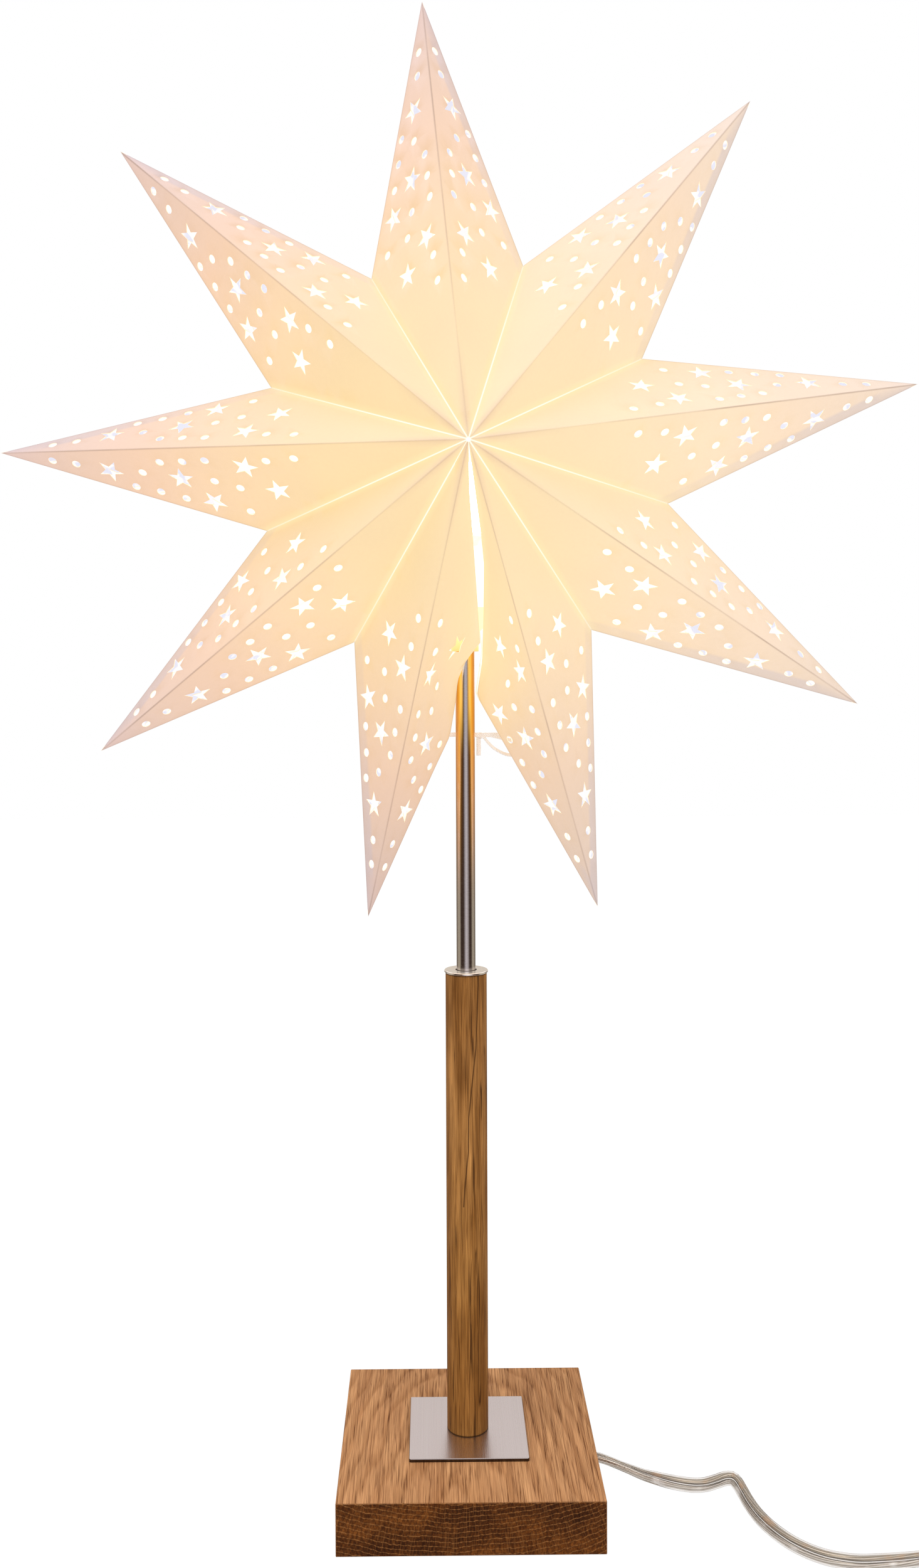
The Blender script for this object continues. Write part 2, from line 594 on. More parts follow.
def polygon(middle, radii, turned=0.0):
    """Corners round a middle at equal angles, one for each radius."""
    turns = [math.radians(turned) + math.tau * k / len(radii) for k in range(len(radii))]
    return [middle + r * Vector((math.cos(angle), math.sin(angle))) for r, angle in zip(radii, turns)]


def face_holes(ridge, corner, star_limit, dot_limit):
    holes = []
    for s, share, turned in punched_stars:
        if share < star_limit:
            middle = Vector((s * ridge, share * width_at(s * ridge, ridge, corner)))
            holes.append((middle, STAR_HOLE, polygon(middle, [STAR_HOLE, NOTCH_HOLE] * 5, turned)))
    for s, share in punched_dots:
        if share < dot_limit or s < SEAM_FROM:
            middle = Vector((s * ridge, share * width_at(s * ridge, ridge, corner)))
            holes.append((middle, DOT_HOLE, polygon(middle, [DOT_HOLE] * DOT_SIDES)))
    return holes


def inside(spot, loop):
    odd = False
    for a, b in zip(loop, loop[1:] + loop[:1]):
        if (a.y > spot.y) != (b.y > spot.y) and spot.x < a.x + (spot.y - a.y) * (b.x - a.x) / (b.y - a.y):
            odd = not odd
    return odd


def cut_face(ridge, corner, star_limit, dot_limit, seed):
    outline = face_outline(ridge, corner, EDGE_STEP)
    holes = face_holes(ridge, corner, star_limit, dot_limit)
    places, edges = list(outline), [(k, (k + 1) % len(outline)) for k in range(len(outline))]
    for _, _, loop in holes:
        first = len(places)
        places += loop
        edges += [(first + k, first + (k + 1) % len(loop)) for k in range(len(loop))]
    for row in range(1, int(ridge / GRID_STEP)):
        for col in range(1, 8):
            jitter = noise.noise_vector(Vector((row * 1.7, col * 2.3, seed))) * GRID_JITTER
            spot = Vector((row * GRID_STEP + jitter.x, (col - 0.5 * (row % 2)) * GRID_STEP + jitter.y))
            if min(spot.y, width_at(spot.x, ridge, corner) - spot.y) < EDGE_ROOM:
                continue
            if any((spot - middle).length < radius + HOLE_ROOM for middle, radius, _ in holes):
                continue
            places.append(spot)
    result = geometry.delaunay_2d_cdt(places, edges, [], 0, TOUCHING)
    spots = result[0]
    kept = []
    for triangle in result[2]:
        a, b, c = (spots[k] for k in triangle)
        if abs((b - a).cross(c - a)) < SLIVER:
            continue
        middle = (a + b + c) / 3
        if not any((middle - centre).length < radius and inside(middle, loop)
                   for centre, radius, loop in holes):
            kept.append(triangle)
    return spots, kept


# %% [markdown]
# ## How the paper glows
# The bulb is inside, so paper near the middle is a warm cream and the far tips fade to a greyish pink. That
# is a matter of distance, so each corner of the mesh remembers how far it is from the middle, from its ridge,
# from its valley and from its outer edge. A shared node group turns these into a colour: a thin dark line on
# each ridge that goes soft near the middle, a white line in each valley with a glow beside it, because light
# leaks out between the glued flanges, and a cooler band where a glue tab doubles the paper. The lampholder
# stands in the way of light that goes down, so the two lowest points are dimmer. Through the holes one sees
# the inside: nearly white close to the bulb, and with cool patches of shadow in the points.

# %% Paper node group and materials
paper_group, given, result = start_group(
    "paper_glow",
    [("Radius", "NodeSocketFloat", 0.0), ("Ridge", "NodeSocketFloat", 0.0),
     ("Valley", "NodeSocketFloat", 0.0), ("Edge", "NodeSocketFloat", 0.0),
     ("Tab", "NodeSocketFloat", 0.0), ("Tip", "NodeSocketFloat", 0.0),
     ("Position", "NodeSocketVector", None)],
    [("Glow", "NodeSocketColor"), ("Tone", "NodeSocketColor"), ("Fibre", "NodeSocketFloat")])
tree = paper_group
share = math_node(tree, "DIVIDE", given.outputs["Radius"], STAR_R)
glow_colour = ramp(tree, share, [
    (0.0, rgb(0.90, 0.65, 0.28)), (0.30, rgb(0.89, 0.63, 0.28)), (0.50, rgb(0.89, 0.60, 0.30)),
    (0.68, rgb(0.84, 0.54, 0.31)), (0.84, rgb(0.77, 0.51, 0.33)), (1.0, rgb(0.70, 0.48, 0.38))])
fibres = node(tree, "ShaderNodeTexNoise", {"Vector": given.outputs["Position"], "Scale": 420.0, "Detail": 3.0,
                                           "Roughness": 0.6})
clouds = node(tree, "ShaderNodeTexNoise", {"Vector": given.outputs["Position"], "Scale": 22.0, "Detail": 2.0})
mottle = math_node(tree, "ADD", math_node(tree, "MULTIPLY", fibres.outputs["Fac"], 0.06),
                   math_node(tree, "MULTIPLY", clouds.outputs["Fac"], 0.08))
mottle = math_node(tree, "ADD", mottle, 0.93)
place = node(tree, "ShaderNodeSeparateXYZ", {0: given.outputs["Position"]})
shaded = map_range(tree, place.outputs["Z"], 0.35, 0.52, 0.86, 1.0)
mottle = math_node(tree, "MULTIPLY", mottle, shaded)
paler = map_range(tree, place.outputs["X"], -0.03, 0.15, 0.0, 0.42)
glow_colour = blend_colour(tree, paler, glow_colour, rgb(0.94, 0.79, 0.52))
seam_place = node(tree, "ShaderNodeVectorMath", {0: given.outputs["Position"], 1: (0.014, -0.02, 0.497)},
                  operation="SUBTRACT")
seam_reach = node(tree, "ShaderNodeVectorMath", {0: seam_place.outputs[0], 1: (1.0, 0.4, 0.5)},
                  operation="MULTIPLY")
seam_far = node(tree, "ShaderNodeVectorMath", {0: seam_reach.outputs[0]}, operation="LENGTH")
beside_seam = map_range(tree, seam_far.outputs["Value"], 0.004, 0.032, 0.6, 0.0)
glow_colour = blend_colour(tree, beside_seam, glow_colour, rgb(1.0, 0.71, 0.30))
glow_colour = blend_colour(tree, 1.0, glow_colour, mottle, "MULTIPLY")
on_ridge = map_range(tree, given.outputs["Ridge"], 0.0002, 0.0011, 0.55, 0.0)
worn = map_range(tree, clouds.outputs["Fac"], 0.35, 0.65, 0.45, 1.0)
faint = map_range(tree, place.outputs["Z"], 0.55, 0.63, 0.8, 0.3)
half_way = map_range(tree, given.outputs["Radius"], 0.07, 0.15, faint, 1.0)
ridge_line = math_node(tree, "MULTIPLY", on_ridge, worn)
ridge_line = math_node(tree, "MULTIPLY", ridge_line, half_way)
beside_ridge = map_range(tree, given.outputs["Ridge"], 0.0, 0.005, 0.42, 0.0)
near_middle = map_range(tree, given.outputs["Radius"], 0.004, 0.06, 1.0, 0.0)
soft_fold = math_node(tree, "MULTIPLY", beside_ridge, near_middle)
glow_colour = blend_colour(tree, soft_fold, glow_colour, rgb(0.62, 0.33, 0.19))
glow_colour = blend_colour(tree, ridge_line, glow_colour, rgb(0.26, 0.155, 0.10))
beside_valley = map_range(tree, given.outputs["Valley"], 0.0, 0.005, 0.45, 0.0)
glow_colour = blend_colour(tree, beside_valley, glow_colour, rgb(1.0, 0.82, 0.42))
bright = map_range(tree, given.outputs["Radius"], 0.045, 0.11, 0.95, 0.42)
in_valley = map_range(tree, given.outputs["Valley"], 0.0002, 0.0007, bright, 0.0)
glow_colour = blend_colour(tree, in_valley, glow_colour, rgb(1.0, 0.95, 0.76))
near_edge = map_range(tree, given.outputs["Edge"], 0.0066, 0.0090, 0.34, 0.0)
to_tip = map_range(tree, given.outputs["Radius"], 0.15, 0.21, 0.4, 1.0)
on_tab = math_node(tree, "MULTIPLY", near_edge, given.outputs["Tab"])
on_tab = math_node(tree, "MULTIPLY", on_tab, to_tip)
glow_colour = blend_colour(tree, on_tab, glow_colour, rgb(0.45, 0.40, 0.43))
at_edge = map_range(tree, given.outputs["Edge"], 0.0002, 0.0012, 0.25, 0.0)
glow_colour = blend_colour(tree, at_edge, glow_colour, rgb(0.30, 0.20, 0.15))
glow_colour = blend_colour(tree, math_node(tree, "MULTIPLY", given.outputs["Tip"], 0.6), glow_colour,
                           rgb(0.20, 0.17, 0.24))
tone = blend_colour(tree, ridge_line, rgb(0.12, 0.14, 0.20), rgb(0.10, 0.09, 0.09))
tree.links.new(glow_colour, result.inputs["Glow"])
tree.links.new(tone, result.inputs["Tone"])
tree.links.new(fibres.outputs["Fac"], result.inputs["Fibre"])


def paper_inputs(tree):
    read = {label: node(tree, "ShaderNodeAttribute", attribute_name=label.lower()).outputs["Fac"]
            for label in ("Radius", "Ridge", "Valley", "Edge", "Tab", "Tip")}
    read["Position"] = object_place(tree)
    return use_group(tree, paper_group, read)


paper_outside, tree, out = start_material("paper_outside")
paper = paper_inputs(tree)
relief = node(tree, "ShaderNodeBump", {"Height": paper.outputs["Fibre"], "Strength": 0.12,
                                       "Distance": 0.0003})
sheet = node(tree, "ShaderNodeBsdfPrincipled", {
    "Base Color": paper.outputs["Tone"], "Roughness": 0.85, "Specular IOR Level": 0.15,
    "Emission Color": paper.outputs["Glow"], "Emission Strength": 1.0, "Normal": relief.outputs[0]})
tree.links.new(sheet.outputs[0], out.inputs["Surface"])

paper_inside, tree, out = start_material("paper_inside")
paper = paper_inputs(tree)
lit = blend_colour(tree, 0.75, paper.outputs["Glow"], rgb(1.0, 0.95, 0.82))
where = object_place(tree)
shadows = node(tree, "ShaderNodeTexNoise", {"Vector": where, "Scale": 130.0, "Detail": 1.0})
shaded = map_range(tree, shadows.outputs["Fac"], 0.46, 0.56)
from_middle = node(tree, "ShaderNodeAttribute", attribute_name="radius").outputs["Fac"]
outward = map_range(tree, from_middle, 0.12, 0.17)
cool = math_node(tree, "MULTIPLY", shaded, outward)
lit = blend_colour(tree, cool, lit, rgb(0.62, 0.605, 0.66))
sheet = node(tree, "ShaderNodeBsdfPrincipled", {
    "Base Color": paper.outputs["Tone"], "Roughness": 0.9, "Emission Color": lit, "Emission Strength": 1.12})
tree.links.new(sheet.outputs[0], out.inputs["Surface"])

paper_cut, tree, out = start_material("paper_cut_edge")
paper = paper_inputs(tree)
lit = blend_colour(tree, 0.6, paper.outputs["Glow"], rgb(1.0, 0.82, 0.44))
sheet = node(tree, "ShaderNodeBsdfPrincipled", {
    "Base Color": rgb(0.45, 0.42, 0.38), "Roughness": 0.9, "Emission Color": lit, "Emission Strength": 0.9})
tree.links.new(sheet.outputs[0], out.inputs["Surface"])

# %% [markdown]
# Now the faces are carried into space. Along the ridge a corner keeps its distance from the tip; across, it
# keeps its share of the width, so the same pattern also fits the bent paper at the seam. A very slight bulge,
# different on each face, keeps the paper from looking like sheet metal. Both sides of a point share the
# corners on the ridge, which is marked sharp so that the fold stays crisp. The Solidify modifier gives the
# paper its thickness.

# %% Build the nine points


def edge_curve(places, tip_place, apex_place, along):
    """Free edge as (distance along the ridge, place), ordered from the tip to the middle of the star."""
    chain = [tip_place] + [Vector(p) for p in places] + [apex_place]
    return sorted(((p - tip_place).dot(along), p) for p in chain)


def on_curve(curve, s):
    for (s0, p0), (s1, p1) in zip(curve, curve[1:]):
        if s <= s1:
            return p0.lerp(p1, 0.0 if s1 == s0 else max(0.0, (s - s0) / (s1 - s0)))
    return curve[-1][1]


def add_face(store, i, side, face):
    tip_place = around(STAR_R, angles[i])
    apex_place = Vector((0.0, face * HALF_DEPTH, 0.0))
    corner_place = natural_corner(i, side)
    along = (apex_place - tip_place).normalized()
    ridge = (apex_place - tip_place).length
    reach = corner_place - tip_place
    corner = Vector((reach.dot(along), (reach - reach.dot(along) * along).length))
    seam = seam_edges.get((i, side, face))
    curve = edge_curve(seam or [corner_place], tip_place, apex_place, along)
    seed = i * 3.1 + side * 1.3 + face * 0.7
    front_right = (i, side, face) == (4, 1, -1)
    star_limit = SEAM_LIMIT if seam and not front_right else 1.0
    spots, faces = cut_face(ridge, corner, star_limit, SEAM_LIMIT if seam else 1.0, seed)
    numbers = []
    across = (corner_place - tip_place).normalized()
    normal = along.cross(across).normalized()
    if normal.dot(-tip_place - apex_place) > 0:
        normal = -normal
    bulge = BULGE * noise.noise(Vector((seed, 4.2, 1.1)))
    edge_line = Vector((corner.x, corner.y)).normalized()
    valley_line = (Vector((corner.x, corner.y)) - Vector((ridge, 0.0))).normalized()
    for spot in spots:
        s, w = spot.x, max(0.0, spot.y)
        width = max(1e-6, width_at(min(max(s, 0.0), ridge), ridge, corner))
        share = min(1.0, w / width)
        on_ridge = tip_place + s * along
        place = on_ridge.lerp(on_curve(curve, s), share)
        soft = math.sin(math.pi * share) * math.sin(math.pi * min(1.0, max(0.0, s / ridge)))
        wave = WAVE * noise.noise(Vector((s * 28.0, w * 34.0, seed)))
        place = place + normal * soft * (bulge + wave)
        key = (face, round(s * 1e6))
        if w < TOUCHING and key in store["shared"]:
            numbers.append(store["shared"][key])
            continue
        numbers.append(len(store["vertices"]))
        if w < TOUCHING:
            store["shared"][key] = numbers[-1]
        store["vertices"].append(STAR_AT + place)
        store["radius"].append(Vector((place.x, place.z)).length)
        store["ridge"].append(w)
        store["edge"].append(abs(s * edge_line.y - w * edge_line.x))
        from_valley = abs((s - ridge) * valley_line.y - w * valley_line.x)
        if front_right:
            from_valley = SLIT_GLOW_START + SLIT_GLOW_SPREAD * from_valley
        elif seam:
            from_valley = NO_VALLEY
        store["valley"].append(from_valley)
        store["tab"].append(1.0 if (side == 1 and not seam) or (i, side) == (4, -1) else 0.0)
        dull_width = DULL_WIDTH * math.sin(math.pi * min(1.0, s / DULL_LENGTH))
        dull = (i, side, face) == (0, 1, -1) and s < DULL_LENGTH and w < dull_width
        store["tip"].append(1.0 if dull else 0.0)
    for triangle in faces:
        corners = [numbers[k] for k in triangle]
        a, b, c = (store["vertices"][k] for k in corners)
        turned = (b - a).cross(c - a).dot(normal) < 0
        store["faces"].append(tuple(reversed(corners)) if turned else tuple(corners))


remembered = ("radius", "ridge", "edge", "valley", "tab", "tip")
points_of_star = []
for i in range(9):
    store = {key: [] for key in ("vertices", "faces") + remembered}
    store["shared"] = {}
    for side in (-1, 1):
        for face in (-1, 1):
            add_face(store, i, side, face)
    point = make_object("paper_point_%d" % (i + 1), store["vertices"], store["faces"], "star",
                        [paper_outside, paper_inside, paper_cut])
    for label in remembered:
        remember(point, label, store[label])
    shade_smooth(point)
    for line in point.data.edges:
        line.use_edge_sharp = all(store["ridge"][k] < TOUCHING for k in line.vertices)
    thick = point.modifiers.new("thickness", "SOLIDIFY")
    thick.thickness = PAPER_T
    thick.offset = -1.0
    thick.material_offset = 1
    thick.material_offset_rim = 2
    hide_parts("star_point_%d" % (i + 1))
    points_of_star.append(point)
print("star:", len(points_of_star), "points,", sum(len(p.data.polygons) for p in points_of_star), "faces")

# %% [markdown]
# ## The tie tape
# A narrow woven tape runs through both lowest points behind the tube and is tied in a bow: one loop and one
# loose end show. It is the same sweep as the cord with a flat outline. A small knot of crossed turns hides
# the start of the loop.

# %% Tie tape
tape_material, tree, out = start_material("cotton_tape")
spot = object_place(tree)
weave = node(tree, "ShaderNodeTexWave", {"Vector": spot, "Scale": 420.0, "Distortion": 2.0, "Detail": 1.0},
             bands_direction="DIAGONAL")
fuzz = node(tree, "ShaderNodeTexNoise", {"Vector": spot, "Scale": 800.0, "Detail": 2.0})
weave_mix = math_node(tree, "MULTIPLY", weave.outputs["Fac"], fuzz.outputs["Fac"])
colour = ramp(tree, weave_mix, [(0.0, rgb(0.86, 0.82, 0.77)), (0.5, rgb(0.96, 0.94, 0.91))])
relief = node(tree, "ShaderNodeBump", {"Height": weave_mix, "Strength": 0.5, "Distance": 0.0003})
cotton = node(tree, "ShaderNodeBsdfPrincipled", {
    "Base Color": colour, "Roughness": 0.9, "Normal": relief.outputs[0], "Emission Color": colour,
    "Emission Strength": 0.16})
tree.links.new(cotton.outputs[0], out.inputs["Surface"])

TAPE_W, TAPE_T = 0.0026, 0.0009
tape_outline = [(TAPE_W / 2 * x, TAPE_T / 2 * y) for x, y in (
    (1.0, 0.4), (0.8, 1.0), (0.3, 0.85), (-0.3, 0.85), (-0.8, 1.0), (-1.0, 0.4),
    (-1.0, -0.4), (-0.8, -1.0), (-0.3, -0.85), (0.3, -0.85), (0.8, -1.0), (1.0, -0.4))]
tape_line = [Vector(p) + STAR_AT for p in (
    (-0.022, 0.0086, -0.161), (-0.0154, 0.0080, -0.161), (-0.009, 0.0072, -0.1608), (-0.004, 0.0068, -0.1606),
    (0.0, 0.0067, -0.1606), (0.005, 0.0067, -0.1608), (0.009, 0.0072, -0.1612), (0.0116, 0.0094, -0.1626),
    (0.014, 0.0102, -0.1656), (0.018, 0.0110, -0.1694), (0.024, 0.0130, -0.1727), (0.0295, 0.0154, -0.1736),
    (0.033, 0.0172, -0.1715), (0.0336, 0.0174, -0.1680), (0.030, 0.0158, -0.1652), (0.024, 0.0130, -0.1636),
    (0.017, 0.0108, -0.1618), (0.0116, 0.0097, -0.1606), (0.0086, 0.0100, -0.1616), (0.0084, 0.0098, -0.1650),
    (0.0084, 0.0094, -0.1690), (0.0083, 0.0093, -0.1735))]
TAPE_STEP, RIGHT_RUN_STEP = 0.0012, 0.002
LOOP_FROM, LOOSE_END_FROM = 0.3, 0.85
flat_run, in_loop, hanging = Vector((0.0, 0.0, 1.0)), Vector((0.0, 0.8, 0.6)), Vector((1.0, 0.2, 0.0))
tape_path = [place for place, _ in smooth_line([(p, 0) for p in tape_line], TAPE_STEP)]
rings = []
for k, place in enumerate(tape_path):
    share = k / (len(tape_path) - 1)
    lean = flat_run if share < LOOP_FROM else in_loop if share < LOOSE_END_FROM else hanging
    along = heading_at(tape_path, k)
    wide = square_to(along, lean)
    rings.append(drawn_at(tape_outline, place, wide, along.cross(wide)))
vertices, faces = skin(rings)
tape = make_object("tape_bow", vertices, faces, "star", [tape_material])
shade_smooth(tape)
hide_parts("tie_tape")
right_run = [(Vector(p) + STAR_AT, 0) for p in (
    (0.008, 0.0070, -0.1611), (0.016, 0.0074, -0.161), (0.0242, 0.0080, -0.161), (0.030, 0.0086, -0.161))]
rings = [[place + Vector((0.0, y, x)) for x, y in tape_outline]
         for place, _ in smooth_line(right_run, RIGHT_RUN_STEP)]
vertices, faces = skin(rings)
tape_right = make_object("tape_right_run", vertices, faces, "star", [tape_material])
KNOT_R, SWIRL_DEPTH, SWIRL_ARMS, SWIRL_LEAN = 0.002, 0.12, 3.0, 700.0
KNOT_AT = STAR_AT + Vector((0.0092, 0.0092, -0.1614))
bpy.ops.mesh.primitive_uv_sphere_add(segments=20, ring_count=12, radius=KNOT_R)
knot = bpy.context.object
knot.name = "tape_knot"
for vertex in knot.data.vertices:
    turned = SWIRL_ARMS * math.atan2(vertex.co.z, vertex.co.x) + SWIRL_LEAN * vertex.co.y
    vertex.co = vertex.co * (1.0 + SWIRL_DEPTH * math.sin(turned)) + KNOT_AT
knot.data.materials.append(tape_material)
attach(knot, "star")

# %% [markdown]
# ## Oak
# Oak is solid all the way through, so its pattern is a block of space and not a picture wrapped on the
# outside. A node group makes that space: growth rings round a pith far above the block, pores drawn out along
# the grain, and thin rays that point at the pith. Where a face cuts across the grain the same pattern shows
# as arcs and specks, and the cut ends soak up oil and go dark, just as in the photo.

# %% Oak node group
oak_group, given, result = start_group(
    "oak_space",
    [("Position", "NodeSocketVector", None),
     ("Pith X", "NodeSocketFloat", 0.0), ("Pith Z", "NodeSocketFloat", 0.2),
     ("Ring", "NodeSocketFloat", 0.0036), ("Lean", "NodeSocketFloat", 0.0)],
    [("Ring Mask", "NodeSocketFloat"), ("Ring Line", "NodeSocketFloat"), ("Pore Mask", "NodeSocketFloat"),
     ("Pore Line", "NodeSocketFloat"), ("Crack", "NodeSocketFloat"), ("Ray Mask", "NodeSocketFloat"),
     ("Speck", "NodeSocketFloat"), ("Cloud", "NodeSocketFloat"), ("Fibre", "NodeSocketColor")])
tree = oak_group


def thin_lines(tree, level, width, breaks, low, high):
    """Dark where the level passes one half, and broken up where the second noise is low."""
    off = math_node(tree, "ABSOLUTE", math_node(tree, "SUBTRACT", level, 0.5))
    line = map_range(tree, off, width * 0.5, width, 1.0, 0.0)
    shown = map_range(tree, breaks, low, high)
    return math_node(tree, "MULTIPLY", line, shown)


here = given.outputs["Position"]
sway = stretched_noise(tree, here, (16.0, 7.0, 16.0), 2.0)
place = node(tree, "ShaderNodeSeparateXYZ", {0: here})
dx = math_node(tree, "SUBTRACT", place.outputs["X"], given.outputs["Pith X"])
dz = math_node(tree, "SUBTRACT", place.outputs["Z"], given.outputs["Pith Z"])
radius = math_node(tree, "SQRT", math_node(tree, "ADD", math_node(tree, "MULTIPLY", dx, dx),
                                           math_node(tree, "MULTIPLY", dz, dz)))
leaning = math_node(tree, "ADD", radius, math_node(tree, "MULTIPLY", place.outputs["Y"],
                                                   given.outputs["Lean"]))
bent = math_node(tree, "ADD", leaning, math_node(tree, "MULTIPLY", sway, 0.012))
ripple = stretched_noise(tree, here, (330.0, 16.0, 120.0), 1.0)
bent = math_node(tree, "ADD", bent, math_node(tree, "MULTIPLY", ripple, 0.0016))
phase = math_node(tree, "FRACT", math_node(tree, "DIVIDE", bent, given.outputs["Ring"]))
ring_mask = ramp(tree, phase, [(0.0, grey(1.0)), (0.20, grey(0.7)), (0.42, grey(0.15)), (0.85, grey(0.0)),
                               (1.0, grey(0.9))])
ring_line = ramp(tree, phase, [(0.0, grey(1.0)), (0.09, grey(0.8)), (0.17, grey(0.0)), (0.92, grey(0.0)),
                               (1.0, grey(1.0))])
pores = stretched_noise(tree, here, (2800.0, 44.0, 2800.0), 1.0, roughness=0.4)
pore_level = math_node(tree, "ADD", pores, math_node(tree, "MULTIPLY", ring_mask, 0.12))
pore_mask = map_range(tree, pore_level, 0.585, 0.65)
pore_line = thin_lines(tree, stretched_noise(tree, here, (1250.0, 13.0, 1250.0), 2.0), 0.040,
                       stretched_noise(tree, here, (520.0, 30.0, 520.0), 1.0), 0.36, 0.48)
crack = thin_lines(tree, stretched_noise(tree, here, (400.0, 7.0, 400.0), 1.0, 0.3), 0.022,
                   stretched_noise(tree, here, (190.0, 21.0, 190.0), 1.0), 0.46, 0.51)
fibre = ramp(tree, stretched_noise(tree, here, (1500.0, 34.0, 1500.0), 3.0),
             [(0.34, rgb(0.68, 0.65, 0.62)), (0.66, rgb(1.24, 1.25, 1.26))])
angle = math_node(tree, "ARCTAN2", dx, dz)
ray_place = node(tree, "ShaderNodeCombineXYZ", {
    "X": math_node(tree, "MULTIPLY", angle, 460.0), "Y": math_node(tree, "MULTIPLY", radius, 55.0),
    "Z": math_node(tree, "MULTIPLY", place.outputs["Y"], 90.0)})
ray_noise = node(tree, "ShaderNodeTexNoise", {"Vector": ray_place.outputs[0], "Scale": 1.0, "Detail": 1.0})
ray_mask = map_range(tree, ray_noise.outputs["Fac"], 0.58, 0.70)
speck = map_range(tree, stretched_noise(tree, here, (800.0, 120.0, 460.0), 2.0), 0.42, 0.60)
cloud = stretched_noise(tree, here, (170.0, 9.0, 170.0), 5.0, roughness=0.6)
oak_marks = {"Ring Mask": ring_mask, "Ring Line": ring_line, "Pore Mask": pore_mask,
             "Pore Line": pore_line, "Crack": crack, "Ray Mask": ray_mask, "Speck": speck,
             "Cloud": cloud, "Fibre": fibre}
for label, value in oak_marks.items():
    tree.links.new(value, result.inputs[label])

# %% Oak for the block
block_material, tree, out = start_material("oak_block")
where = object_place(tree)
oak = use_group(tree, oak_group, {"Position": where, "Pith X": -0.002, "Pith Z": 0.215, "Ring": 0.0028,
                                  "Lean": 0.06})
facing = object_facing(tree)
end_share = map_range(tree, math_node(tree, "ABSOLUTE", facing.outputs["Y"]), 0.6, 0.8)
face_wood = ramp(tree, oak.outputs["Cloud"], [(0.30, rgb(0.49, 0.232, 0.099)),
                                              (0.70, rgb(0.68, 0.355, 0.160))])
face_wood = blend_colour(tree, math_node(tree, "MULTIPLY", oak.outputs["Ring Mask"], 0.55), face_wood,
                         rgb(0.37, 0.160, 0.058))
face_wood = blend_colour(tree, 0.8, face_wood, oak.outputs["Fibre"], "MULTIPLY")
early_wood = math_node(tree, "ADD", math_node(tree, "MULTIPLY", oak.outputs["Ring Mask"], 0.35), 0.60)
face_wood = blend_colour(tree, math_node(tree, "MULTIPLY", oak.outputs["Pore Line"], early_wood), face_wood,
                         rgb(0.13, 0.043, 0.013))
end_wood = ramp(tree, oak.outputs["Cloud"], [(0.34, rgb(0.092, 0.024, 0.002)),
                                             (0.66, rgb(0.195, 0.060, 0.009))])
grainy = math_node(tree, "MULTIPLY", math_node(tree, "SUBTRACT", 1.0, oak.outputs["Speck"]), 0.62)
end_wood = blend_colour(tree, grainy, end_wood, rgb(0.028, 0.006, 0.0005))
end_wood = blend_colour(tree, math_node(tree, "MULTIPLY", oak.outputs["Pore Mask"], 0.5), end_wood,
                        rgb(0.020, 0.004, 0.0005))
patch = stretched_noise(tree, where, (26.0, 4.0, 60.0), 2.0)
patch_tone = ramp(tree, patch, [(0.36, rgb(0.55, 0.50, 0.45)), (0.62, rgb(1.25, 1.25, 1.25))])
end_wood = blend_colour(tree, 1.0, end_wood, patch_tone, "MULTIPLY")
end_wood = blend_colour(tree, math_node(tree, "MULTIPLY", oak.outputs["Ray Mask"], 0.36), end_wood,
                        rgb(0.28, 0.108, 0.028))
broken = math_node(tree, "ADD", math_node(tree, "MULTIPLY", oak.outputs["Speck"], 0.6), 0.4)
broken = math_node(tree, "MULTIPLY", oak.outputs["Ring Line"], broken)
end_wood = blend_colour(tree, math_node(tree, "MULTIPLY", broken, 0.80), end_wood, rgb(0.34, 0.145, 0.044))
colour = blend_colour(tree, end_share, face_wood, end_wood)
depth = math_node(tree, "SUBTRACT", 1.0, math_node(tree, "MAXIMUM", oak.outputs["Pore Mask"],
                                                   oak.outputs["Pore Line"]))
relief = node(tree, "ShaderNodeBump", {"Height": depth, "Strength": 0.2, "Distance": 0.0003})
wood = node(tree, "ShaderNodeBsdfPrincipled", {"Base Color": colour, "Roughness": 0.62,
                                               "Specular IOR Level": 0.10, "Normal": relief.outputs[0]})
tree.links.new(wood.outputs[0], out.inputs["Surface"])

# %% [markdown]
# The stem is turned from a straight-grained rod, so its rings show as long stripes. Three kinds of dark marks
# lie on them: many fine pores, a few short cracks, and one long drying crack that wanders down the front,
# drawn as a hand-placed line.

# %% Oak for the stem
stem_heights = [corner.co.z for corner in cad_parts["stem"].data.vertices]
STEM_FOOT, STEM_TOP = min(stem_heights), max(stem_heights)
print("stem from", round(STEM_FOOT, 4), "to", round(STEM_TOP, 4), "m")
stem_material, tree, out = start_material("oak_stem")
where = node(tree, "ShaderNodeSeparateXYZ", {0: object_place(tree)})
upright = node(tree, "ShaderNodeCombineXYZ", {"X": where.outputs["X"], "Y": where.outputs["Z"],
                                              "Z": where.outputs["Y"]})
oak = use_group(tree, oak_group, {"Position": upright.outputs[0], "Pith X": 0.05, "Pith Z": 0.06,
                                  "Ring": 0.0050, "Lean": 0.02})
blotch = stretched_noise(tree, upright.outputs[0], (75.0, 16.0, 75.0), 3.0)
tone = math_node(tree, "ADD", math_node(tree, "MULTIPLY", oak.outputs["Cloud"], 0.55),
                 math_node(tree, "MULTIPLY", blotch, 0.45))
stem_wood = ramp(tree, tone, [(0.38, rgb(0.225, 0.086, 0.015)), (0.62, rgb(0.560, 0.265, 0.074))])
along_stem = map_range(tree, where.outputs["Z"], 0.03, 0.31)
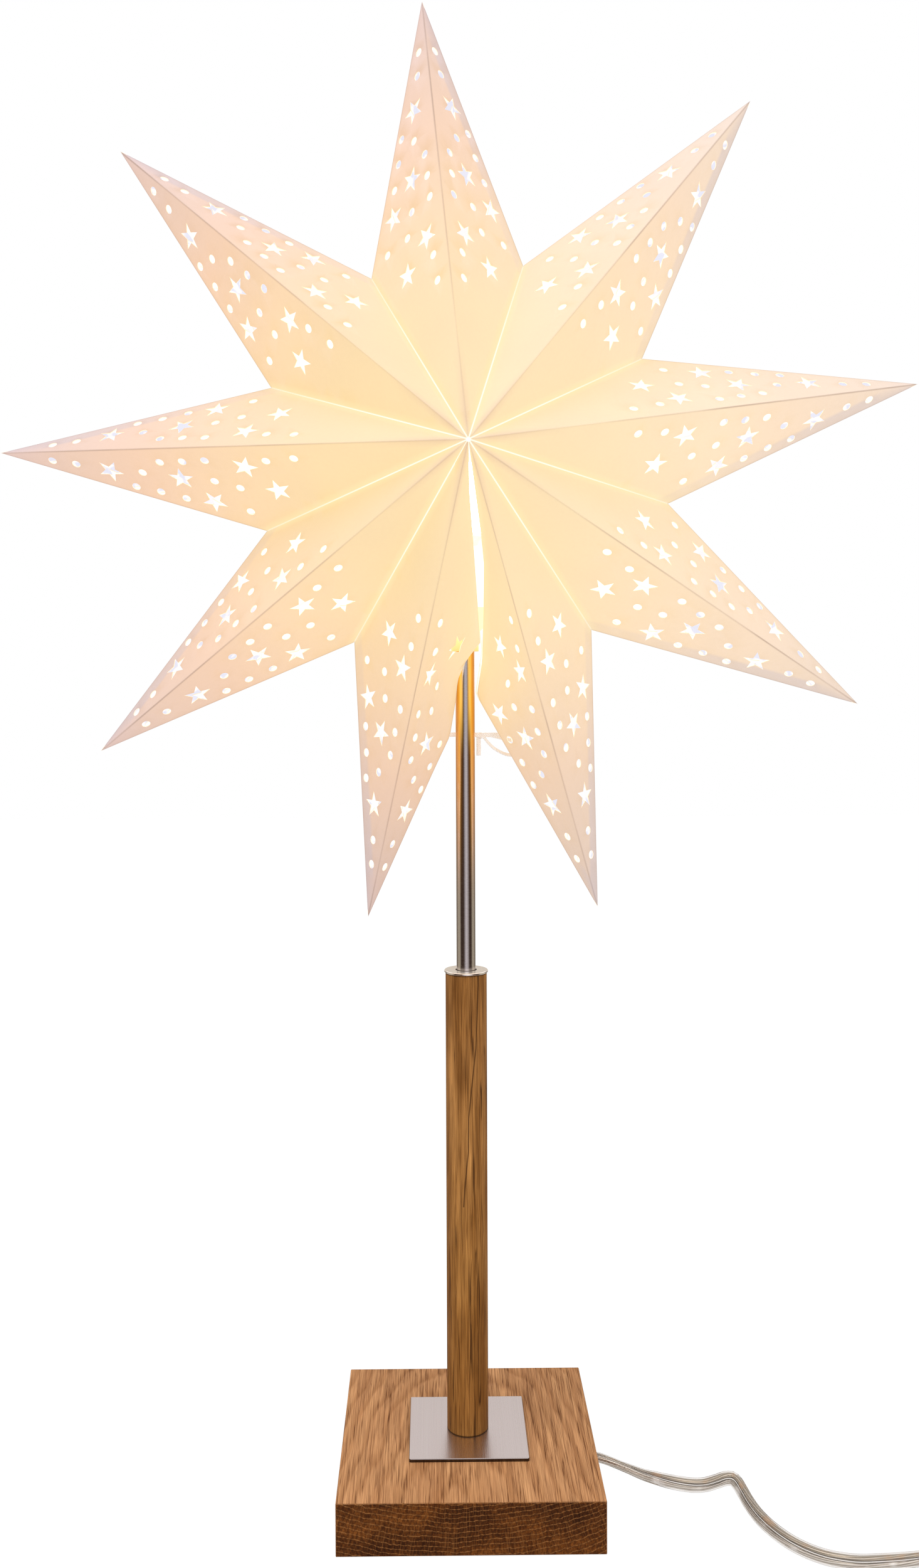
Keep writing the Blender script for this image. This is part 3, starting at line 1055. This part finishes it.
height_tone = ramp(tree, along_stem, [
    (0.0, rgb(0.72, 0.68, 0.62)), (0.14, rgb(0.86, 0.83, 0.76)), (0.34, rgb(1.0, 1.0, 0.96)),
    (0.62, rgb(1.0, 1.0, 1.06)), (0.82, rgb(0.90, 0.88, 0.92)), (1.0, rgb(0.88, 0.86, 0.88))])
stem_wood = blend_colour(tree, 1.0, stem_wood, height_tone, "MULTIPLY")
stem_wood = blend_colour(tree, math_node(tree, "MULTIPLY", oak.outputs["Ring Mask"], 0.25), stem_wood,
                         rgb(0.21, 0.078, 0.012))
stem_wood = blend_colour(tree, 0.9, stem_wood, oak.outputs["Fibre"], "MULTIPLY")
stem_wood = blend_colour(tree, math_node(tree, "MULTIPLY", oak.outputs["Pore Line"], 0.55), stem_wood,
                         rgb(0.11, 0.036, 0.005))
down = map_range(tree, where.outputs["Z"], 0.168, 0.302)
crack_places = [(0.0, 0.42), (0.10, 0.45), (0.26, 0.52), (0.41, 0.53), (0.54, 0.59), (0.72, 0.68),
                (1.0, 0.73)]
course = ramp(tree, down, [(height, grey(level)) for height, level in crack_places])
course_x = math_node(tree, "MULTIPLY", math_node(tree, "SUBTRACT", course, 0.5), 0.03)
aside = math_node(tree, "ABSOLUTE", math_node(tree, "SUBTRACT", where.outputs["X"], course_x))
on_course = map_range(tree, aside, 0.00015, 0.00055, 1.0, 0.0)
above = math_node(tree, "GREATER_THAN", where.outputs["Z"], 0.170)
front = math_node(tree, "LESS_THAN", where.outputs["Y"], 0.0)
long_crack = math_node(tree, "MULTIPLY", on_course, math_node(tree, "MULTIPLY", above, front))
marks = math_node(tree, "MAXIMUM", oak.outputs["Crack"], long_crack)
stem_wood = blend_colour(tree, math_node(tree, "MULTIPLY", marks, 0.8), stem_wood, rgb(0.05, 0.016, 0.003))
from_end = math_node(tree, "MINIMUM", math_node(tree, "SUBTRACT", where.outputs["Z"], STEM_FOOT),
                     math_node(tree, "SUBTRACT", STEM_TOP, where.outputs["Z"]))
end_line = map_range(tree, from_end, 0.0003, 0.0009, 0.85, 0.0)
stem_wood = blend_colour(tree, end_line, stem_wood, rgb(0.022, 0.008, 0.002))
depth = math_node(tree, "SUBTRACT", 1.0, math_node(tree, "MAXIMUM", oak.outputs["Pore Mask"], marks))
relief = node(tree, "ShaderNodeBump", {"Height": depth, "Strength": 0.25, "Distance": 0.0004})
wood = node(tree, "ShaderNodeBsdfPrincipled", {"Base Color": stem_wood, "Roughness": 0.6,
                                               "Specular IOR Level": 0.10, "Normal": relief.outputs[0]})
tree.links.new(wood.outputs[0], out.inputs["Surface"])
print("oak materials made")

# %% [markdown]
# ## Metal
# Brushed steel gets its look from fine scratches that all run one way. A node group draws the scratches and
# hands back a roughness and a tilt of the surface; the plate's run from front to back and the tube's run
# round it. The top of the tube also picks up the lamp's own warm light, and the polished ring picks up light
# from the star above it.

# %% Steel
brushed_group, given, result = start_group(
    "brushed_lines", [("Position", "NodeSocketVector", None),
                      ("Stretch", "NodeSocketVector", (1.0, 1.0, 1.0)),
                      ("Rough", "NodeSocketFloat", 0.3)],
    [("Roughness", "NodeSocketFloat"), ("Normal", "NodeSocketVector"), ("Line", "NodeSocketFloat")])
tree = brushed_group
stretched = node(tree, "ShaderNodeVectorMath", {0: given.outputs["Position"], 1: given.outputs["Stretch"]},
                 operation="MULTIPLY")
lines = node(tree, "ShaderNodeTexNoise", {"Vector": stretched.outputs[0], "Scale": 1.0, "Detail": 3.0})
rough = math_node(tree, "ADD", given.outputs["Rough"],
                  math_node(tree, "MULTIPLY", lines.outputs["Fac"], 0.12))
tilt = node(tree, "ShaderNodeBump", {"Height": lines.outputs["Fac"], "Strength": 0.06, "Distance": 0.0003})
tree.links.new(rough, result.inputs["Roughness"])
tree.links.new(tilt.outputs[0], result.inputs["Normal"])
tree.links.new(lines.outputs["Fac"], result.inputs["Line"])


def steel_material(name, stretch, rough, light, dark):
    made, tree, out = start_material(name)
    where = object_place(tree)
    lines = use_group(tree, brushed_group, {"Position": where, "Stretch": stretch, "Rough": rough})
    colour = ramp(tree, lines.outputs["Line"], [(0.35, dark), (0.65, light)])
    metal = node(tree, "ShaderNodeBsdfPrincipled", {
        "Base Color": colour, "Metallic": 1.0, "Roughness": lines.outputs["Roughness"],
        "Normal": lines.outputs["Normal"]})
    tree.links.new(metal.outputs[0], out.inputs["Surface"])
    return made, tree, metal


plate_material, tree, metal = steel_material("brushed_plate", (2600.0, 9.0, 2600.0), 0.22,
                                             rgb(0.895, 0.845, 0.835), rgb(0.845, 0.79, 0.78))
facing = object_facing(tree)
cut_side = ramp(tree, math_node(tree, "ABSOLUTE", facing.outputs["Z"]),
                [(0.2, rgb(0.10, 0.085, 0.075)), (0.45, rgb(0.72, 0.70, 0.69)), (0.85, rgb(0.74, 0.72, 0.71)),
                 (0.97, rgb(1.0, 1.0, 1.0))])
plain = metal.inputs["Base Color"].links[0].from_socket
tree.links.new(blend_colour(tree, 1.0, plain, cut_side, "MULTIPLY"), metal.inputs["Base Color"])
ring_material, tree, metal = steel_material("polished_ring", (600.0, 600.0, 1500.0), 0.06,
                                            rgb(0.97, 0.95, 0.93), rgb(0.90, 0.87, 0.85))
facing = object_facing(tree)
star_light = ramp(tree, facing.outputs["Z"], [
    (0.05, rgb(0.05, 0.045, 0.04)), (0.45, rgb(0.50, 0.46, 0.42)), (0.80, rgb(0.34, 0.30, 0.27)),
    (0.97, rgb(0.26, 0.23, 0.20))])
tree.links.new(star_light, metal.inputs["Emission Color"])
metal.inputs["Emission Strength"].default_value = 1.0
zinc_material, _, _ = steel_material("zinc_parts", (700.0, 700.0, 700.0), 0.25, rgb(0.78, 0.78, 0.76),
                                     rgb(0.66, 0.66, 0.65))
tube_material, tree, metal = steel_material("satin_tube", (500.0, 500.0, 2600.0), 0.10, rgb(0.70, 0.66, 0.65),
                                            rgb(0.62, 0.58, 0.56))
height = node(tree, "ShaderNodeSeparateXYZ", {0: object_place(tree)}).outputs["Z"]
warm = map_range(tree, height, 0.34, 0.475, interpolation_type="SMOOTHSTEP")
at_top = map_range(tree, height, 0.435, 0.475, interpolation_type="SMOOTHSTEP")
facing = object_facing(tree)
sideways = math_node(tree, "ABSOLUTE", facing.outputs["X"])
lamp_light = ramp(tree, sideways, [
    (0.18, rgb(0.0, 0.0, 0.0)), (0.36, rgb(0.10, 0.035, 0.004)), (0.48, rgb(0.20, 0.08, 0.008)),
    (0.62, rgb(0.80, 0.34, 0.025)), (0.78, rgb(0.66, 0.24, 0.008)), (0.92, rgb(0.42, 0.13, 0.001)),
    (1.0, rgb(0.50, 0.20, 0.01))])
top_light = ramp(tree, sideways, [
    (0.18, rgb(0.0, 0.0, 0.0)), (0.36, rgb(0.80, 0.42, 0.06)), (0.50, rgb(0.96, 0.58, 0.09)),
    (0.68, rgb(0.78, 0.29, 0.006)), (0.88, rgb(0.50, 0.155, 0.0)), (1.0, rgb(0.50, 0.18, 0.005))])
lamp_light = blend_colour(tree, at_top, lamp_light, top_light)
covered = ramp(tree, sideways, [(0.15, rgb(0.0, 0.0, 0.0)), (0.40, rgb(0.95, 0.95, 0.95))])
plain = metal.inputs["Base Color"].links[0].from_socket
tinted = blend_colour(tree, math_node(tree, "MULTIPLY", warm, covered), plain, rgb(0.10, 0.04, 0.002))
tree.links.new(tinted, metal.inputs["Base Color"])
glow = blend_colour(tree, warm, rgb(0.0, 0.0, 0.0), lamp_light)
tree.links.new(glow, metal.inputs["Emission Color"])
metal.inputs["Emission Strength"].default_value = 1.0

# %% [markdown]
# ## Plastic, brass, glass and rubber
# The rest is mostly out of sight: the lampholder and the bulb inside the star, and the switch and plug on the
# cord. One recipe makes all the moulded plastics: a base colour that drifts a little, and a faint orange-peel
# bump. The bulb lights the lampholder, so the holder's cap glows golden and its skirt nearly white.

# %% Other materials


def moulded_material(name, light, dark, rough, grain=900.0):
    made, tree, out = start_material(name)
    where = object_place(tree)
    drift = node(tree, "ShaderNodeTexNoise", {"Vector": where, "Scale": 40.0, "Detail": 3.0})
    peel = node(tree, "ShaderNodeTexNoise", {"Vector": where, "Scale": grain, "Detail": 1.0})
    colour = ramp(tree, drift.outputs["Fac"], [(0.35, dark), (0.65, light)])
    relief = node(tree, "ShaderNodeBump", {"Height": peel.outputs["Fac"], "Strength": 0.1,
                                           "Distance": 0.0003})
    plastic = node(tree, "ShaderNodeBsdfPrincipled", {"Base Color": colour, "Roughness": rough,
                                                      "Normal": relief.outputs[0]})
    tree.links.new(plastic.outputs[0], out.inputs["Surface"])
    return made


white_plastic = moulded_material("white_plastic", rgb(0.86, 0.85, 0.82), rgb(0.80, 0.79, 0.76), 0.45)
rocker_plastic = moulded_material("rocker_plastic", rgb(0.82, 0.81, 0.78), rgb(0.76, 0.75, 0.72), 0.22)


def lit_plastic(name, light, dark, low, high, low_z, high_z):
    """Plastic that the bulb lights: the glow grows from low_z to high_z and drifts a little."""
    made = moulded_material(name, light, dark, 0.4)
    tree = made.node_tree
    where = object_place(tree)
    height = node(tree, "ShaderNodeSeparateXYZ", {0: where}).outputs["Z"]
    rise = map_range(tree, height, low_z, high_z, 0.0, 0.8)
    drift = node(tree, "ShaderNodeTexNoise", {"Vector": where, "Scale": 30.0})
    share = math_node(tree, "ADD", rise, math_node(tree, "MULTIPLY", drift.outputs["Fac"], 0.2))
    plastic = next(part for part in tree.nodes if part.type == "BSDF_PRINCIPLED")
    tree.links.new(ramp(tree, share, [(0.1, low), (0.9, high)]), plastic.inputs["Emission Color"])
    plastic.inputs["Emission Strength"].default_value = 1.0
    return made


cap_plastic = lit_plastic("holder_cap_plastic", rgb(0.62, 0.46, 0.24), rgb(0.54, 0.38, 0.18),
                          rgb(0.58, 0.27, 0.02), rgb(1.0, 0.83, 0.40), 0.500, 0.516)
skirt_plastic = lit_plastic("holder_skirt_plastic", rgb(0.50, 0.46, 0.38), rgb(0.44, 0.40, 0.33),
                            rgb(1.0, 0.93, 0.70), rgb(1.0, 0.98, 0.90), 0.516, 0.535)
ceramic = moulded_material("holder_ceramic", rgb(0.78, 0.73, 0.64), rgb(0.70, 0.65, 0.56), 0.7)
black_glass = moulded_material("black_insulator", rgb(0.03, 0.03, 0.03), rgb(0.015, 0.015, 0.015), 0.2)
rubber = moulded_material("pad_rubber", rgb(0.055, 0.05, 0.048), rgb(0.03, 0.028, 0.027), 0.85, 500.0)
wire_plastic = moulded_material("wire_plastic", rgb(0.72, 0.64, 0.50), rgb(0.64, 0.56, 0.43), 0.5)
tie_plastic = moulded_material("tie_band", rgb(0.80, 0.77, 0.72), rgb(0.72, 0.69, 0.64), 0.5)
brass, _, _ = steel_material("stamped_brass", (900.0, 900.0, 900.0), 0.24, rgb(0.80, 0.60, 0.28),
                             rgb(0.66, 0.48, 0.20))
aluminium, tree, metal = steel_material("bulb_aluminium", (700.0, 700.0, 60.0), 0.28, rgb(0.80, 0.79, 0.77),
                                        rgb(0.70, 0.69, 0.67))
where = object_place(tree)
thread = node(tree, "ShaderNodeTexWave", {"Vector": where, "Scale": 56.0}, bands_direction="Z")
thread_relief = node(tree, "ShaderNodeBump", {"Height": thread.outputs["Fac"], "Strength": 0.8,
                                              "Distance": 0.0008})
tree.links.new(thread_relief.outputs[0], metal.inputs["Normal"])
nickel, _, _ = steel_material("nickel_pins", (300.0, 1500.0, 300.0), 0.15, rgb(0.82, 0.79, 0.72),
                              rgb(0.74, 0.71, 0.65))

bulb_material, tree, out = start_material("opal_bulb")
where = object_place(tree)
haze = node(tree, "ShaderNodeTexNoise", {"Vector": where, "Scale": 60.0, "Detail": 2.0})
bulb_light = ramp(tree, haze.outputs["Fac"], [(0.3, rgb(1.0, 0.80, 0.50)), (0.7, rgb(1.0, 0.86, 0.60))])
opal = node(tree, "ShaderNodeBsdfPrincipled", {"Base Color": rgb(0.9, 0.88, 0.82), "Roughness": 0.35,
                                               "Emission Color": bulb_light, "Emission Strength": 9.0})
tree.links.new(opal.outputs[0], out.inputs["Surface"])

# %% [markdown]
# ## Dress the CAD pieces
# The remaining pieces keep their CAD shape. Each node gets its material by name.

# %% Assign materials
finish_of = {
    "base_block": block_material, "base_pad": rubber, "base_plate": plate_material, "stem": stem_material,
    "stem_cap": ring_material, "pole_tube": tube_material, "base_washer": zinc_material,
    "base_nut": zinc_material, "cord_strap": white_plastic, "strap_screws": zinc_material,
    "holder_cap": cap_plastic, "holder_grub_screw": zinc_material, "holder_skirt": skirt_plastic,
    "holder_core": ceramic, "holder_wires": wire_plastic, "screw_shell": brass, "centre_contact": brass,
    "bulb_globe": bulb_material, "bulb_collar": white_plastic, "bulb_cap": aluminium,
    "bulb_insulator": black_glass, "bulb_tip": aluminium, "switch_base": white_plastic,
    "switch_cover": white_plastic, "switch_rocker": rocker_plastic, "switch_screws": zinc_material,
    "coil_tie": tie_plastic, "plug_body": white_plastic, "plug_pins": nickel,
}
for name, material in finish_of.items():
    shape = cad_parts[name]
    shape.data.materials.clear()
    shape.data.materials.append(material)
print("dressed", len(finish_of), "CAD pieces")
